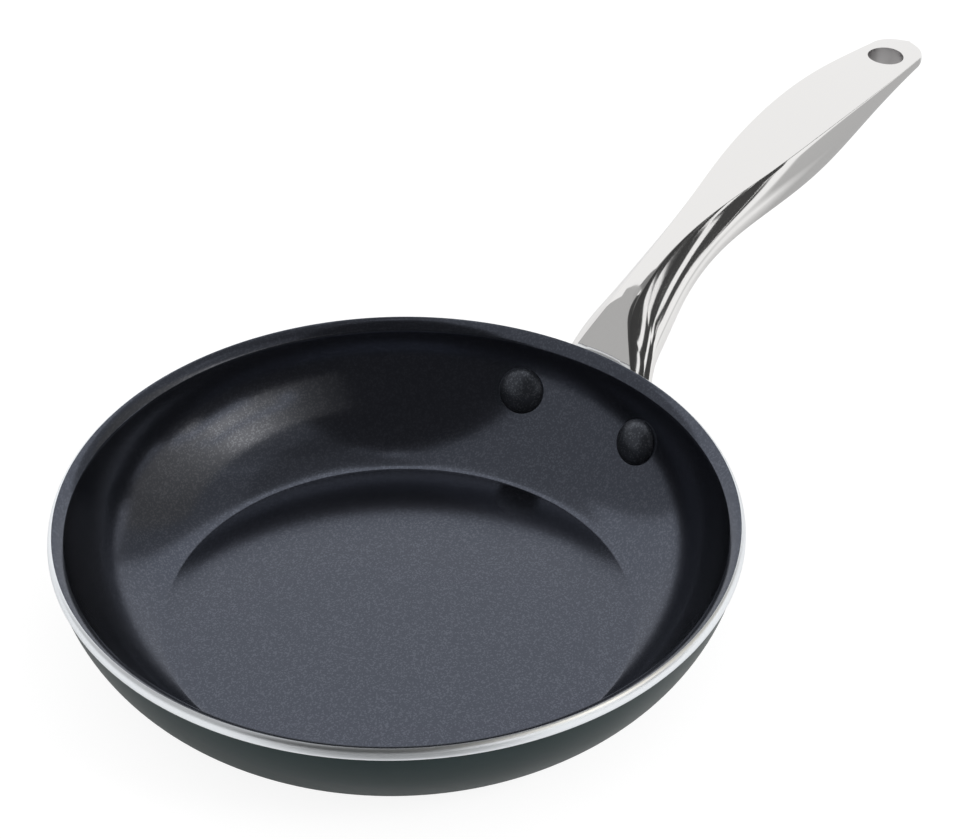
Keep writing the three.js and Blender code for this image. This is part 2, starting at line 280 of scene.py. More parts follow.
def use(tree, group, **values):
    placed = node(tree, "ShaderNodeGroup", node_tree=group)
    for label, value in values.items():
        placed.inputs[label].default_value = value
    return placed.outputs


def spread(tree, value, low, high):
    ranged = node(tree, "ShaderNodeMapRange", To_Min=low, To_Max=high)
    wire(tree, value, ranged.inputs["Value"])
    return ranged.outputs["Result"]


def blend(tree, mask, first, second):
    mixed = node(tree, "ShaderNodeMix", data_type="RGBA")
    ends = [socket for socket in mixed.inputs if socket.type == "RGBA"]
    for socket, colour in zip(ends, (first, second)):
        if isinstance(colour, tuple):
            socket.default_value = (*colour, 1)
        else:
            wire(tree, colour, socket)
    wire(tree, mask, mixed.inputs["Factor"])
    return next(out for out in mixed.outputs if out.type == "RGBA")


def bump(tree, height, inputs, depth, strength):
    relief = node(tree, "ShaderNodeBump", Distance=depth * MM, Strength=strength)
    wire(tree, height, relief.inputs["Height"], relief.outputs["Normal"], inputs["Normal"])


# %% [markdown]
# ## The ceramic lining
# The inside is black ceramic with fine metal flakes in it, so it mirrors a bright studio softly and
# stays black where the room is dark. The floor is slightly crowned and meets the wall in a small round,
# which catches a thin line of light. At the top the wall ends in a crisp edge, and a sloped, slightly
# convex lip leads out to the bead. One section, spun, makes the layer, and the rivets' holes are drilled.

# %% Ceramic finish
ceramic, tree, inputs = material("black ceramic", Metallic=0.95)
flake = use(tree, flakes, Scale=2600, Share=0.25)
grain = use(tree, spray, Scale=1500)
wire(tree, blend(tree, flake["Flake"], (0.078, 0.086, 0.108), (0.111, 0.121, 0.149)), inputs["Base Color"])
wire(tree, spread(tree, grain["Patches"], 0.13, 0.18), inputs["Roughness"])
bump(tree, grain["Height"], inputs, 0.03, 0.12)

# %% Section of the lining
FLOOR_ROUND = 4.0
ROUND_STEPS = 8
FLOOR_STEPS = 16
COAT_EDGE = RIM_RADIUS - 0.1  # where the lining ends and the bare bead begins
LIP_DEPTH = 2.4  # how far below the rim the wall ends and the lip slopes out
LIP_FOOT_SLOPE, LIP_TOP_SLOPE = math.tan(math.radians(46)), math.tan(math.radians(22))
LIP_STEPS = 10
LIP_EDGE = 0.02  # a first short step, which keeps the lip's inner edge crisp
LIP_TOP = PAN_HEIGHT - 0.05
COAT_BREAK = PAN_HEIGHT - 0.12  # where the layer's outer edge turns down

round_height = FLOOR_HEIGHT + FLOOR_ROUND
round_reach = LINING_INSIDE - FLOOR_ROUND
round_tilt = math.asin((round_height - WALL_CENTRE.y) / round_reach)
round_centre = on_wall(round_reach, round_tilt)
crown_fall = math.atan(2 * FLOOR_CROWN / round_centre.x)  # how steeply the floor arrives at the round


def floor_round():
    start = -math.pi / 2 - crown_fall
    turns = [start + (round_tilt - start) * i / ROUND_STEPS for i in range(ROUND_STEPS + 1)]
    return [round_centre + FLOOR_ROUND * Vector((math.cos(t), math.sin(t))) for t in turns]


def crowned(edge):
    shares = [i / FLOOR_STEPS for i in range(FLOOR_STEPS)]
    return [(edge.x * share, edge.y + FLOOR_CROWN * (1 - share**2)) for share in shares]


def lip():
    foot = wall_arc(LINING_INSIDE, wall_foot, PAN_HEIGHT - LIP_DEPTH)[-1]
    edge = Vector((COAT_EDGE - HAIR, LIP_TOP))
    reach = (edge.y - foot.y - LIP_TOP_SLOPE * (edge.x - foot.x)) / (LIP_FOOT_SLOPE - LIP_TOP_SLOPE)
    bend = foot + reach * Vector((1, LIP_FOOT_SLOPE))
    start = bezier([foot, bend, edge], LIP_EDGE)
    return [start] + [bezier([foot, bend, edge], i / LIP_STEPS) for i in range(1, LIP_STEPS + 1)]


wall_foot = floor_round()[-1].y
lining_back = wall_arc(BODY_INSIDE - HAIR, PAN_HEIGHT - LIP_DEPTH - COAT - SEAT_GAP, FLOOR_HEIGHT - COAT)
lining_section = [
    *crowned(floor_round()[0]),
    *floor_round(),
    *wall_arc(LINING_INSIDE, wall_foot, PAN_HEIGHT - LIP_DEPTH)[1:],
    *lip(),
    (COAT_EDGE, COAT_BREAK),
    (COAT_EDGE, PAN_HEIGHT - COAT - SEAT_GAP),
    *lining_back,
    *reversed(crowned(lining_back[-1])),
]
lining_bm = spun(lining_section)
print("lining section points:", len(lining_section))

# %% [markdown]
# ## Where the rivets stand
# Both rivets stand square to the wall. A form made upright, with its heights measured from the wall's
# centre, is turned onto a rivet's axis by one matrix, so the drill and the rivet share the same place.

# %% Rivet axes
RIVET_SPACING = 43.3
RIVET_DROP = 16.6
SHANK_RADIUS = 3.0
PIN_STEPS = 48
PLATE_THICKNESS = 3.4
DRILL_SPARE = 12  # how much longer the drill is than the layers it goes through

rivet_tilt = tilt_at(LINING_INSIDE, PAN_HEIGHT - RIVET_DROP)
rivet_turn = math.asin(RIVET_SPACING / 2 / on_wall(LINING_INSIDE, rivet_tilt).x)
PLATE_INSIDE = WALL_ARC + SEAT_GAP
PLATE_OUTSIDE = PLATE_INSIDE + PLATE_THICKNESS


def onto_axis(bm, turn):
    spot = Matrix.Rotation(turn, 4, "Z") @ Matrix.Translation((WALL_CENTRE.x, 0, WALL_CENTRE.y))
    lean = Matrix.Rotation(math.pi / 2 - rivet_tilt, 4, "Y")
    bmesh.ops.transform(bm, matrix=spot @ lean, verts=bm.verts)
    return bm


def drills():
    bm = bmesh.new()
    for side in (1, -1):
        bore = bmesh.new()
        bmesh.ops.create_cone(
            bore, cap_ends=True, segments=PIN_STEPS,
            radius1=SHANK_RADIUS + HAIR, radius2=SHANK_RADIUS + HAIR,
            depth=PLATE_OUTSIDE - LINING_INSIDE + DRILL_SPARE,
            matrix=Matrix.Translation((0, 0, (PLATE_OUTSIDE + LINING_INSIDE) / 2)),
        )
        held = scratch(onto_axis(bore, side * rivet_turn))
        bm.from_mesh(held.data)
        bpy.data.objects.remove(held)
    return bm


print(f"rivets tilt {math.degrees(rivet_tilt):.1f} and turn {math.degrees(rivet_turn):.1f} degrees")

# %% Finish the lining
lining_bm = carve(lining_bm, drills(), "DIFFERENCE")
lining = finish(lining_bm, "ceramic_lining", ceramic, "black_ceramic", "nonstick_lining")

# %% [markdown]
# ## The aluminium body
# Nearly all of the pressing is covered. What shows is the bead, turned bright after the coats are
# sprayed, so it carries fine rings. Its bulge is a quarter curve, from the lip down to the wall.

# %% Aluminium finish
aluminium, tree, inputs = material("bare aluminium", Base_Color=(0.89, 0.92, 0.95, 1), Metallic=1)
turned = use(tree, rings, Scale=3500)
wire(tree, spread(tree, turned["Height"], 0.28, 0.42), inputs["Roughness"])
bump(tree, turned["Height"], inputs, 0.02, 0.3)

# %% Section of the body
BEAD_STEPS = 14
BEAD_TOP = PAN_HEIGHT - 0.15
BEAD_ROUND = 0.5  # the small round under the bead
BEAD_ROUND_IN, BEAD_ROUND_UP = 0.15, 0.12  # a point midway round it
body_lip = PAN_HEIGHT - COAT - SEAT_GAP
body_floor = FLOOR_HEIGHT - COAT - SEAT_GAP
body_bottom = DISC_THICKNESS + SEAT_GAP


def bead():
    start, bend = Vector((COAT_EDGE + HAIR, BEAD_TOP)), Vector((BEAD_RADIUS, body_lip))
    end = Vector((BEAD_RADIUS, BEAD_FOOT + BEAD_ROUND))
    return [bezier([start, bend, end], i / BEAD_STEPS) for i in range(BEAD_STEPS + 1)]


body_inner = wall_arc(BODY_INSIDE, body_floor, body_lip - LIP_DEPTH)
body_section = [
    *crowned(body_inner[0]),
    *body_inner,
    (COAT_EDGE + HAIR, body_lip - LIP_FALL / 2),
    *bead(),
    (BEAD_RADIUS - BEAD_ROUND_IN, BEAD_FOOT + BEAD_ROUND_UP),
    (BEAD_RADIUS - BEAD_ROUND, BEAD_FOOT),
    *wall_arc(BODY_OUTSIDE, BEAD_FOOT, body_bottom),
    (0, body_bottom),
]
body_bm = carve(spun(body_section), drills(), "DIFFERENCE")
body = finish(body_bm, "aluminium_body", aluminium, "bare_aluminium", "pan_body")

# %% [markdown]
# ## The outside lacquer
# The outside is sprayed with a dark green-black lacquer. It is smooth and glossy enough to brighten at
# the edges, with a faint orange-peel grain. The layer lies on the body and ends in a ring under the base.

# %% Lacquer finish
lacquer, tree, inputs = material("dark lacquer", Specular_IOR_Level=0.17, Specular_Tint=(0.78, 1, 1, 1))
grain = use(tree, spray, Scale=700)
worn = use(tree, marks, Scale=45)
wire(tree, blend(tree, worn["Smears"], (0.012, 0.022, 0.023), (0.017, 0.029, 0.03)), inputs["Base Color"])
wire(tree, spread(tree, grain["Patches"], 0.26, 0.36), inputs["Roughness"])
bump(tree, grain["Height"], inputs, 0.02, 0.2)

# %% Section of the lacquer
COAT_SHORT = 0.1  # how far below the bead the layer ends
disc_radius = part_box("induction_base")[1].x / MM
ring_inner = disc_radius + SEAT_GAP
ring_low = DISC_THICKNESS - COAT
coat_section = [
    (ring_inner, ring_low),
    *wall_arc(WALL_ARC, ring_low, BEAD_FOOT - COAT_SHORT),
    *wall_arc(BODY_OUTSIDE + HAIR, BEAD_FOOT - COAT_SHORT / 2, body_bottom - HAIR),
    (ring_inner, body_bottom - HAIR),
]
coat_bm = carve(spun(coat_section, ring=True), drills(), "DIFFERENCE")
coat = finish(coat_bm, "lacquer_coat", lacquer, "dark_lacquer", "outer_coat")

# %% [markdown]
# ## The induction disc
# A thin steel disc, pressed into the base, carries rings of round holes that the aluminium grips.
# The holes are drilled all at once by one set of pins, and the face keeps the rings of the lathe.

# %% Steel finish
steel, tree, inputs = material("turned steel", Base_Color=(0.52, 0.52, 0.51, 1), Metallic=1)
turned = use(tree, rings, Scale=1800)
wire(tree, spread(tree, turned["Height"], 0.22, 0.42), inputs["Roughness"])
bump(tree, turned["Height"], inputs, 0.05, 0.35)

# %% Disc with its holes
HOLE_RADIUS = 2.4
HOLE_STEPS = 24
HOLE_EDGE = 10.0  # from the disc's edge to the middle of the outer holes
HOLE_RINGS = 3
RING_STEP = 13.0
RING_HOLES = 8
DISC_ROUND = 0.2

disc_bm = spun([
    (0, DISC_THICKNESS), (disc_radius - DISC_ROUND, DISC_THICKNESS),
    (disc_radius, DISC_THICKNESS - DISC_ROUND), (disc_radius, DISC_ROUND),
    (disc_radius - DISC_ROUND, 0), (0, 0),
])
pins = bmesh.new()
for ring in range(1, HOLE_RINGS + 1):
    out = disc_radius - HOLE_EDGE - (HOLE_RINGS - ring) * RING_STEP
    for i in range(RING_HOLES * ring):
        turn = Matrix.Rotation(math.tau * i / (RING_HOLES * ring), 4, "Z")
        bmesh.ops.create_cone(
            pins, cap_ends=True, segments=HOLE_STEPS, radius1=HOLE_RADIUS, radius2=HOLE_RADIUS,
            depth=4 * DISC_THICKNESS, matrix=turn @ Matrix.Translation((out, 0, 0)),
        )
finish(carve(disc_bm, pins, "DIFFERENCE"), "induction_disc", steel, "base_steel", "induction_base")

# %% [markdown]
# ## The rivets
# Each rivet has a domed head inside the pan, coated like the lining, a shank through all the layers and
# a flatter tail behind the handle's plate. The head's skirt is made too deep and then trimmed by the
# bowl, so that it meets the curved wall all round.

# %% Rivet finish
coated, tree, inputs = material("coated rivet", Metallic=0.8)
flake = use(tree, flakes, Scale=2600, Share=0.2)
grain = use(tree, spray, Scale=1300)
wire(tree, blend(tree, flake["Flake"], (0.055, 0.06, 0.072), (0.1, 0.108, 0.125)), inputs["Base Color"])
wire(tree, spread(tree, grain["Patches"], 0.26, 0.36), inputs["Roughness"])
bump(tree, grain["Height"], inputs, 0.03, 0.25)

# %% Rivets
HEAD_RADIUS = 7.1
HEAD_HEIGHT = 4.2
TAIL_RADIUS = 4.8
TAIL_HEIGHT = 2.2
DOME_STEPS = 14
SKIRT = 3  # how much deeper than the wall the head is made before it is trimmed
PIN_LAP = 1  # how far the shank reaches into the head
TRIM_LIFT = 1  # where the trimming bowl starts above the floor


def dome(radius, base, height):
    turns = [math.pi / 2 * i / DOME_STEPS for i in range(DOME_STEPS + 1)]
    return [(radius * math.cos(t), base + height * math.sin(t)) for t in turns]


head_base = LINING_INSIDE - HAIR
tail_base = PLATE_OUTSIDE + HAIR
trim_floor = FLOOR_HEIGHT + TRIM_LIFT
for name, side in (("left", 1), ("right", -1)):
    head = onto_axis(spun([
        (0, head_base + SKIRT), (HEAD_RADIUS, head_base + SKIRT),
        *dome(HEAD_RADIUS, head_base, -HEAD_HEIGHT),
    ], PIN_STEPS * 2), side * rivet_turn)
    bowl = spun([(0, trim_floor), *wall_arc(head_base, trim_floor, PAN_HEIGHT), (0, PAN_HEIGHT)])
    pin = onto_axis(spun([
        (0, head_base - PIN_LAP), (SHANK_RADIUS, head_base - PIN_LAP), (SHANK_RADIUS, tail_base),
        *dome(TAIL_RADIUS, tail_base, TAIL_HEIGHT),
    ], PIN_STEPS), side * rivet_turn)
    rivet = carve(carve(head, bowl, "INTERSECT"), pin, "UNION")
    finish(rivet, f"rivet_{name}_coated", coated, "coated_rivet", f"rivet_{name}")

# %% [markdown]
# ## The cast handle
# The handle is one hollow casting, polished like a mirror. Its top is a long leaf with a crisp edge, and
# below that edge the flanks swell into a round belly. Sections at eleven stations say how high, wide
# and deep it is, a smooth curve runs through them, and a ring of edges is extruded from section to
# section. Only the crisp edge is then bevelled, because a mirror shows every bevel.

# %% Stations of the casting
ROOT_REACH = -16.0
FLANK_FULLNESS = 0.7
BELLY_FULLNESS = 0.68
STEP, RISE, WIDTH, FLARE, DEPTH, CROWN = range(6)
STATIONS = [
    (0, -30, 12, 13, 1.5, 1.6),
    (16, -4.5, 11.2, 13, 23.5, 1.5),
    (6, 6.5, 6.4, 15, 21.7, 1.1),
    (10, 15.2, 3.4, 14.6, 22.2, 0.6),
    (14, 20.6, 3, 11.3, 19.2, 0.46),
    (20, 25, 4.7, 7.5, 16.2, 0.46),
    (25, 28.1, 8.7, 4.8, 17.6, 0.46),
    (30, 29.9, 11.3, 3, 18.5, 0.46),
    (25, 29, 11.2, 2, 11.8, 0.46),
    (28.5, 25.7, 8.7, 0.9, 6, 0.46),
    (20, 23.5, 6.4, 0.6, 4.2, 0.46),
]
steps = [station[STEP] for station in STATIONS]
reaches = [ROOT_REACH + sum(steps[: i + 1]) for i in range(len(steps))]
TIP_STATION = len(STATIONS) - 2
TIP_RADIUS = STATIONS[TIP_STATION][WIDTH]
print("stations from the rim, mm:", reaches)


# %% Smooth curve through the stations
def curve_through(spots, values):
    gaps = np.diff(spots)
    slopes = np.diff(values) / gaps
    system, turns = np.eye(len(spots)), np.zeros(len(spots))
    for i in range(1, len(spots) - 1):
        system[i, i - 1 : i + 2] = gaps[i - 1], 2 * (gaps[i - 1] + gaps[i]), gaps[i]
        turns[i] = 6 * (slopes[i] - slopes[i - 1])
    bends = np.linalg.solve(system, turns)

    def at(spot):
        i = min(max(bisect_right(spots, spot) - 1, 0), len(spots) - 2)
        gap, before, after = gaps[i], spots[i + 1] - spot, spot - spots[i]
        bent = (bends[i] * before**3 + bends[i + 1] * after**3) / (6 * gap)
        start, end = values[i] / gap - bends[i] * gap / 6, values[i + 1] / gap - bends[i + 1] * gap / 6
        return float(bent + start * before + end * after)

    return at


curves = [curve_through(reaches, [station[k] for station in STATIONS]) for k in range(RISE, CROWN + 1)]


def sizes_at(reach):
    return reach, *(curve(reach) for curve in curves)


# %% One section of the casting
CROWN_STEPS = 8
FLANK_STEPS = 26


def half_section(rise, width, flare, depth, crown):
    belly = width + flare
    over = [Vector((0, rise + crown)), Vector((width / 2, rise + crown)), Vector((width, rise))]
    down = [
        over[-1],
        Vector((belly, rise - FLANK_FULLNESS * depth)),
        Vector((BELLY_FULLNESS * belly, rise - depth)),
        Vector((0, rise - depth)),
    ]
    half = [bezier(over, i / CROWN_STEPS) for i in range(CROWN_STEPS)]
    return half + [bezier(down, i / FLANK_STEPS) for i in range(FLANK_STEPS + 1)]


def section(sizes, narrowing=1.0):
    reach, *shape = sizes
    half = half_section(*shape)
    x = RIM_RADIUS + reach
    right = [Vector((x, -narrowing * p.x, PAN_HEIGHT + p.y)) for p in half]
    left = [Vector((x, narrowing * p.x, PAN_HEIGHT + p.y)) for p in half[1:-1]]
    return right + left[::-1]


# %% Extrude the casting along its sections
SPAN_STEPS = 14
TIP_STEPS = 20
EDGE_BEVEL = 0.3
SECTION_POINTS = 2 * (CROWN_STEPS + FLANK_STEPS)

sections = []
for start, end in zip(reaches[:TIP_STATION], reaches[1:]):
    sections += [section(sizes_at(start + (end - start) * i / SPAN_STEPS)) for i in range(SPAN_STEPS)]
tip_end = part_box("handle")[1].x / MM - RIM_RADIUS - reaches[TIP_STATION]
for i in range(TIP_STEPS):
    turn = math.pi / 2 * i / TIP_STEPS
    tip_sizes = sizes_at(reaches[TIP_STATION] + tip_end * math.sin(turn))
    sections.append(section(tip_sizes, narrowing=TIP_RADIUS * math.cos(turn) / tip_sizes[WIDTH]))


def loft(rings):
    bm = bmesh.new()
    bmesh.ops.create_circle(bm, cap_ends=True, segments=len(rings[0]), radius=1)
    face = bm.faces[:][0]
    loops = [list(face.verts)]
    for vert, spot in zip(loops[0], rings[0]):
        vert.co = spot
    bm.faces.remove(face)
    edges = [bm.edges.get((a, b)) for a, b in zip(loops[0], loops[0][1:] + loops[0][:1])]
    for ring in rings[1:]:
        grown = bmesh.ops.extrude_edge_only(bm, edges=edges)["geom"]
        new_edges = set(e for e in grown if isinstance(e, bmesh.types.BMEdge))
        old = loops[-1]
        across = []
        for vert in old:
            link = next(e for e in vert.link_edges if e not in new_edges and e not in edges
                        and e.other_vert(vert) in grown)
            across.append(link.other_vert(vert))
        for vert, spot in zip(across, ring):
            vert.co = spot
        loops.append(across)
        edges = [bm.edges.get((a, b)) for a, b in zip(across, across[1:] + across[:1])]
    for loop in (loops[0], loops[-1]):
        bm.faces.new(loop)
    bmesh.ops.recalc_face_normals(bm, faces=bm.faces)
    return bm, loops


casting, loops = loft(sections)
crisp = []
for row in (CROWN_STEPS, SECTION_POINTS - CROWN_STEPS):
    rail = [loop[row] for loop in loops]
    crisp += [casting.edges.get(pair) for pair in zip(rail, rail[1:])]
bmesh.ops.bevel(
    casting, geom=crisp, offset=EDGE_BEVEL, segments=3, profile=0.5, affect="EDGES", material=-1,
    clamp_overlap=True,
)
print("casting faces:", len(casting.faces))

# %% [markdown]
# ## The rivet plate and the hanging hole
# Behind the wall the casting spreads into a plate that follows the wall's own curve. It is a band of that
# curve, cut to a rounded outline square to the rivets. The pan itself then trims the casting, so plate
# and handle lie against the wall and the bead, and the hanging hole is cut last.

# %% Rivet plate
PLATE_END = 7.4
PLATE_HEIGHT = 25.0
PLATE_CORNER = 9.0
BAND_SHARE = 0.75  # of the plate's height, above and below the rivets, so the band overhangs


def band():
    half = BAND_SHARE * PLATE_HEIGHT / PLATE_INSIDE
    tilts = [rivet_tilt - half + 2 * half * i / WALL_STEPS for i in range(WALL_STEPS + 1)]
    inner = [on_wall(PLATE_INSIDE, tilt) for tilt in tilts]
    outer = [on_wall(PLATE_OUTSIDE, tilt) for tilt in reversed(tilts)]
    return spun(inner + outer, ring=True)


def outline_block():
    bm = bmesh.new()
    half_width = on_wall(PLATE_OUTSIDE, rivet_tilt).x * math.sin(rivet_turn) + PLATE_END
    bmesh.ops.create_grid(bm, x_segments=1, y_segments=1, size=0.5)
    bmesh.ops.scale(bm, vec=(PLATE_HEIGHT, 2 * half_width, 1), verts=bm.verts)
    bmesh.ops.bevel(
        bm, geom=bm.verts[:], offset=PLATE_CORNER, offset_type="OFFSET", segments=10, profile=0.5,
        affect="VERTICES", material=-1, clamp_overlap=True,
    )
    bmesh.ops.translate(bm, vec=(0, 0, WALL_ARC / 2), verts=bm.verts)
    grown = bmesh.ops.extrude_face_region(bm, geom=bm.faces[:])["geom"]
    risen = [v for v in grown if isinstance(v, bmesh.types.BMVert)]
    bmesh.ops.translate(bm, vec=(0, 0, WALL_ARC), verts=risen)
    bmesh.ops.recalc_face_normals(bm, faces=bm.faces)
    return onto_axis(bm, 0)


plate = carve(band(), outline_block(), "INTERSECT")
print("plate faces:", len(plate.faces))


# %% Polished finish, rougher in the hole, whose wall also gets a painted shade grey
HANG_RADIUS = 5.7
HANG_STEPS = 64
HANG_SETBACK = 5.2  # from the middle of the tip's round back to the hole
STEEL_COLOUR = (0.83, 0.82, 0.81)
# The hole's wall gets a darker grey as painted shade, standing in for the shade inside the hole.
HANG_PAINTED_SHADE = (0.4, 0.39, 0.39)
HANG_DULLNESS = 0.3  # roughness that the hole's wall has more than the rest
hang_reach = RIM_RADIUS + reaches[TIP_STATION] - HANG_SETBACK

polished, tree, inputs = material("polished steel", Metallic=1)
worn = use(tree, marks, Scale=55, Stretch=14)
place = node(tree, "ShaderNodeTexCoord").outputs["Object"]
flat = node(tree, "ShaderNodeVectorMath", operation="MULTIPLY")
flat.inputs[1].default_value = (1, 1, 0)
from_hole = node(tree, "ShaderNodeVectorMath", operation="DISTANCE")
from_hole.inputs[1].default_value = (hang_reach * MM, 0, 0)
in_hole = node(tree, "ShaderNodeMath", operation="LESS_THAN")
in_hole.inputs[1].default_value = (HANG_RADIUS + HAIR) * MM
wire(tree, place, flat.inputs[0], flat.outputs[0], from_hole.inputs[0])
wire(tree, from_hole.outputs["Value"], in_hole.inputs[0])
# Inside the hole the colour turns to the painted shade grey; the roughness rises there as well.
wire(tree, blend(tree, in_hole.outputs[0], STEEL_COLOUR, HANG_PAINTED_SHADE), inputs["Base Color"])
smooth = spread(tree, worn["Smears"], 0.045, 0.085)
dull = node(tree, "ShaderNodeMath", operation="MULTIPLY_ADD")
dull.inputs[1].default_value = HANG_DULLNESS
wire(tree, in_hole.outputs[0], dull.inputs[0], smooth, dull.inputs[2])
wire(tree, dull.outputs[0], inputs["Roughness"])
bump(tree, worn["Smears"], inputs, 0.02, 0.05)


# %% Trim, drill and finish the handle
def pan_filled():
    rim = BEAD_RADIUS + SEAT_GAP
    return spun([
        (0, -1), *wall_arc(PLATE_INSIDE, -1, BEAD_FOOT - SEAT_GAP), (rim, BEAD_FOOT - SEAT_GAP),
        (rim, 2 * PAN_HEIGHT), (0, 2 * PAN_HEIGHT),
    ])


hanger = bmesh.new()
bmesh.ops.create_cone(
    hanger, cap_ends=True, segments=HANG_STEPS, radius1=HANG_RADIUS, radius2=HANG_RADIUS, depth=PAN_HEIGHT,
    matrix=Matrix.Translation((hang_reach, 0, PAN_HEIGHT + STATIONS[TIP_STATION][RISE])),
)

handle_bm = carve(casting, plate, "UNION")
handle_bm = carve(handle_bm, pan_filled(), "DIFFERENCE")
handle_bm = carve(handle_bm, hanger, "DIFFERENCE")
handle_bm = carve(handle_bm, drills(), "DIFFERENCE")
finish(handle_bm, "cast_handle", polished, "polished_steel", "handle")

# %% [markdown]
# ## Stage, light and camera
# The pan lies on a pale floor under soft light. In mirrors the floor carries painted shade: grey spots
# under the handle and in front of the pan. From below the floor is clear, so the base can be looked at as
# well. To the camera and to mirrors the room is white, and dark flags outside the picture give the polished
# steel its dark streaks and keep the bowl's wall black.

# %% Floor and room
CAMERA_TURN = math.radians(-52.3)  # the picture's right-hand direction, in the part's frame
DIFFUSE_LEVEL = 0.85
BRIGHT_TABLE = (0.95, 0.95, 0.95)
TABLE_GAP = 0.0001  # m, keeps the table's face clear of the base's face
SHORT_RAY = 0.0003  # m, rays as short as this pass the table, so the base's underside is lit
SHADOW_COLOUR = (0.2, 0.2, 0.2)  # how much of the table's shading the camera sees
TABLE_GLOW = 0.88
TABLE_RADIUS = 0.9  # m
TABLE_STEPS = 96


def stage_piece(bm, name, colour, glow=0.0):
    mesh = bpy.data.meshes.new(name)
    bm.to_mesh(mesh)
    bm.free()
    surface, tree, inputs = material(name, Roughness=0.9, Specular_IOR_Level=0, Emission_Strength=glow)
    inputs["Emission Color"].default_value = (*colour, 1)
    mesh.materials.append(surface)
    held = bpy.data.objects.new(name, mesh)
    bpy.context.scene.collection.objects.link(held)
    return held, tree, inputs


table = bmesh.new()
lowered = Matrix.Translation((0, 0, -TABLE_GAP))
bmesh.ops.create_circle(table, cap_ends=True, segments=TABLE_STEPS, radius=TABLE_RADIUS, matrix=lowered)
_, tree, inputs = stage_piece(table, "floor", (1, 1, 1))
rays = node(tree, "ShaderNodeLightPath").outputs
seen = rays["Is Camera Ray"]
long_ray = node(tree, "ShaderNodeMath", operation="GREATER_THAN")
long_ray.inputs[1].default_value = SHORT_RAY
below = node(tree, "ShaderNodeNewGeometry").outputs["Backfacing"]
solid = node(tree, "ShaderNodeMath", operation="SUBTRACT", use_clamp=True)
wire(tree, rays["Ray Length"], long_ray.inputs[0], long_ray.outputs[0], solid.inputs[0])
wire(tree, below, solid.inputs[1], solid.outputs[0], inputs["Alpha"])
place = node(tree, "ShaderNodeTexCoord").outputs["Object"]


# Painted shade: a grey on the table that fades out around one point.
def painted_shade_spot(middle, inner, outer):
    away = node(tree, "ShaderNodeVectorMath", operation="DISTANCE")
    away.inputs[1].default_value = middle
    clear = node(tree, "ShaderNodeMapRange", From_Min=inner, From_Max=outer)
    wire(tree, place, away.inputs[0], away.outputs["Value"], clear.inputs["Value"])
    return clear.outputs["Result"]


in_front = Matrix.Rotation(CAMERA_TURN, 3, "Z") @ Vector((0, -0.3, 0))
mirrored_table = BRIGHT_TABLE
# Painted shade on the table, seen in mirrors and bounced light but not by the camera: the first two spots
# lie under the handle, the third in front of the pan, and the last is a near-black patch farther out.
# Each spot: its grey in mirrors, its middle, and the radii between which it fades out, in metres.
for grey, middle, inner, outer in (
    (0.5, (0.36, -0.12, 0), 0.09, 0.12),
    (0.5, (0.28, 0, 0), 0.06, 0.1),
    (0.22, in_front, 0.13, 0.19),
    (0.02, (0.175, -0.67, 0), 0.3, 0.34),
):
    mirrored_table = blend(tree, painted_shade_spot(middle, inner, outer), (grey, grey, grey), mirrored_table)
wire(tree, blend(tree, seen, mirrored_table, SHADOW_COLOUR), inputs["Base Color"])
wire(tree, spread(tree, seen, 0, TABLE_GLOW), inputs["Emission Strength"])

world = bpy.data.worlds.new("white room")
bpy.context.scene.world = world
world.use_nodes = True
tree = world.node_tree
background = tree.nodes["Background"]
background.inputs["Color"].default_value = (1, 1, 1, 1)
rays = node(tree, "ShaderNodeLightPath")
mirrored = node(tree, "ShaderNodeMath", operation="MAXIMUM")
shown = node(tree, "ShaderNodeMath", operation="MAXIMUM")
level = node(tree, "ShaderNodeMapRange", To_Min=DIFFUSE_LEVEL, To_Max=1.0)
wire(tree, rays.outputs["Is Glossy Ray"], mirrored.inputs[0])
wire(tree, rays.outputs["Is Transmission Ray"], mirrored.inputs[1])
wire(tree, rays.outputs["Is Camera Ray"], shown.inputs[0], mirrored.outputs[0], shown.inputs[1])
wire(tree, shown.outputs[0], level.inputs["Value"], level.outputs["Result"], background.inputs["Strength"])

# %% Cards round the pan
ROOM_RADIUS = 2.0
CARD_STEPS = 12
CARD_COLOUR = (0.06, 0.06, 0.06, 1)


def around(azimuth, elevation, distance=ROOM_RADIUS):
    a, e = math.radians(azimuth) + CAMERA_TURN, math.radians(elevation)
    return Vector((math.cos(a) * math.cos(e), math.sin(a) * math.cos(e), math.sin(e))) * distance


def card(name, level, azimuths, elevations, tint=(1, 1, 1), distance=ROOM_RADIUS):
    bm = bmesh.new()
    bmesh.ops.create_grid(bm, x_segments=CARD_STEPS, y_segments=CARD_STEPS, size=0.5)
    for vert in bm.verts:
        across, up = vert.co.x + 0.5, vert.co.y + 0.5
        azimuth = azimuths[0] + across * (azimuths[1] - azimuths[0])
        vert.co = around(azimuth, elevations[0] + up * (elevations[1] - elevations[0]), distance)
    held, _, inputs = stage_piece(bm, name, tint, level)
    inputs["Base Color"].default_value = CARD_COLOUR
    held.visible_camera = held.visible_diffuse = held.visible_shadow = False
    return held


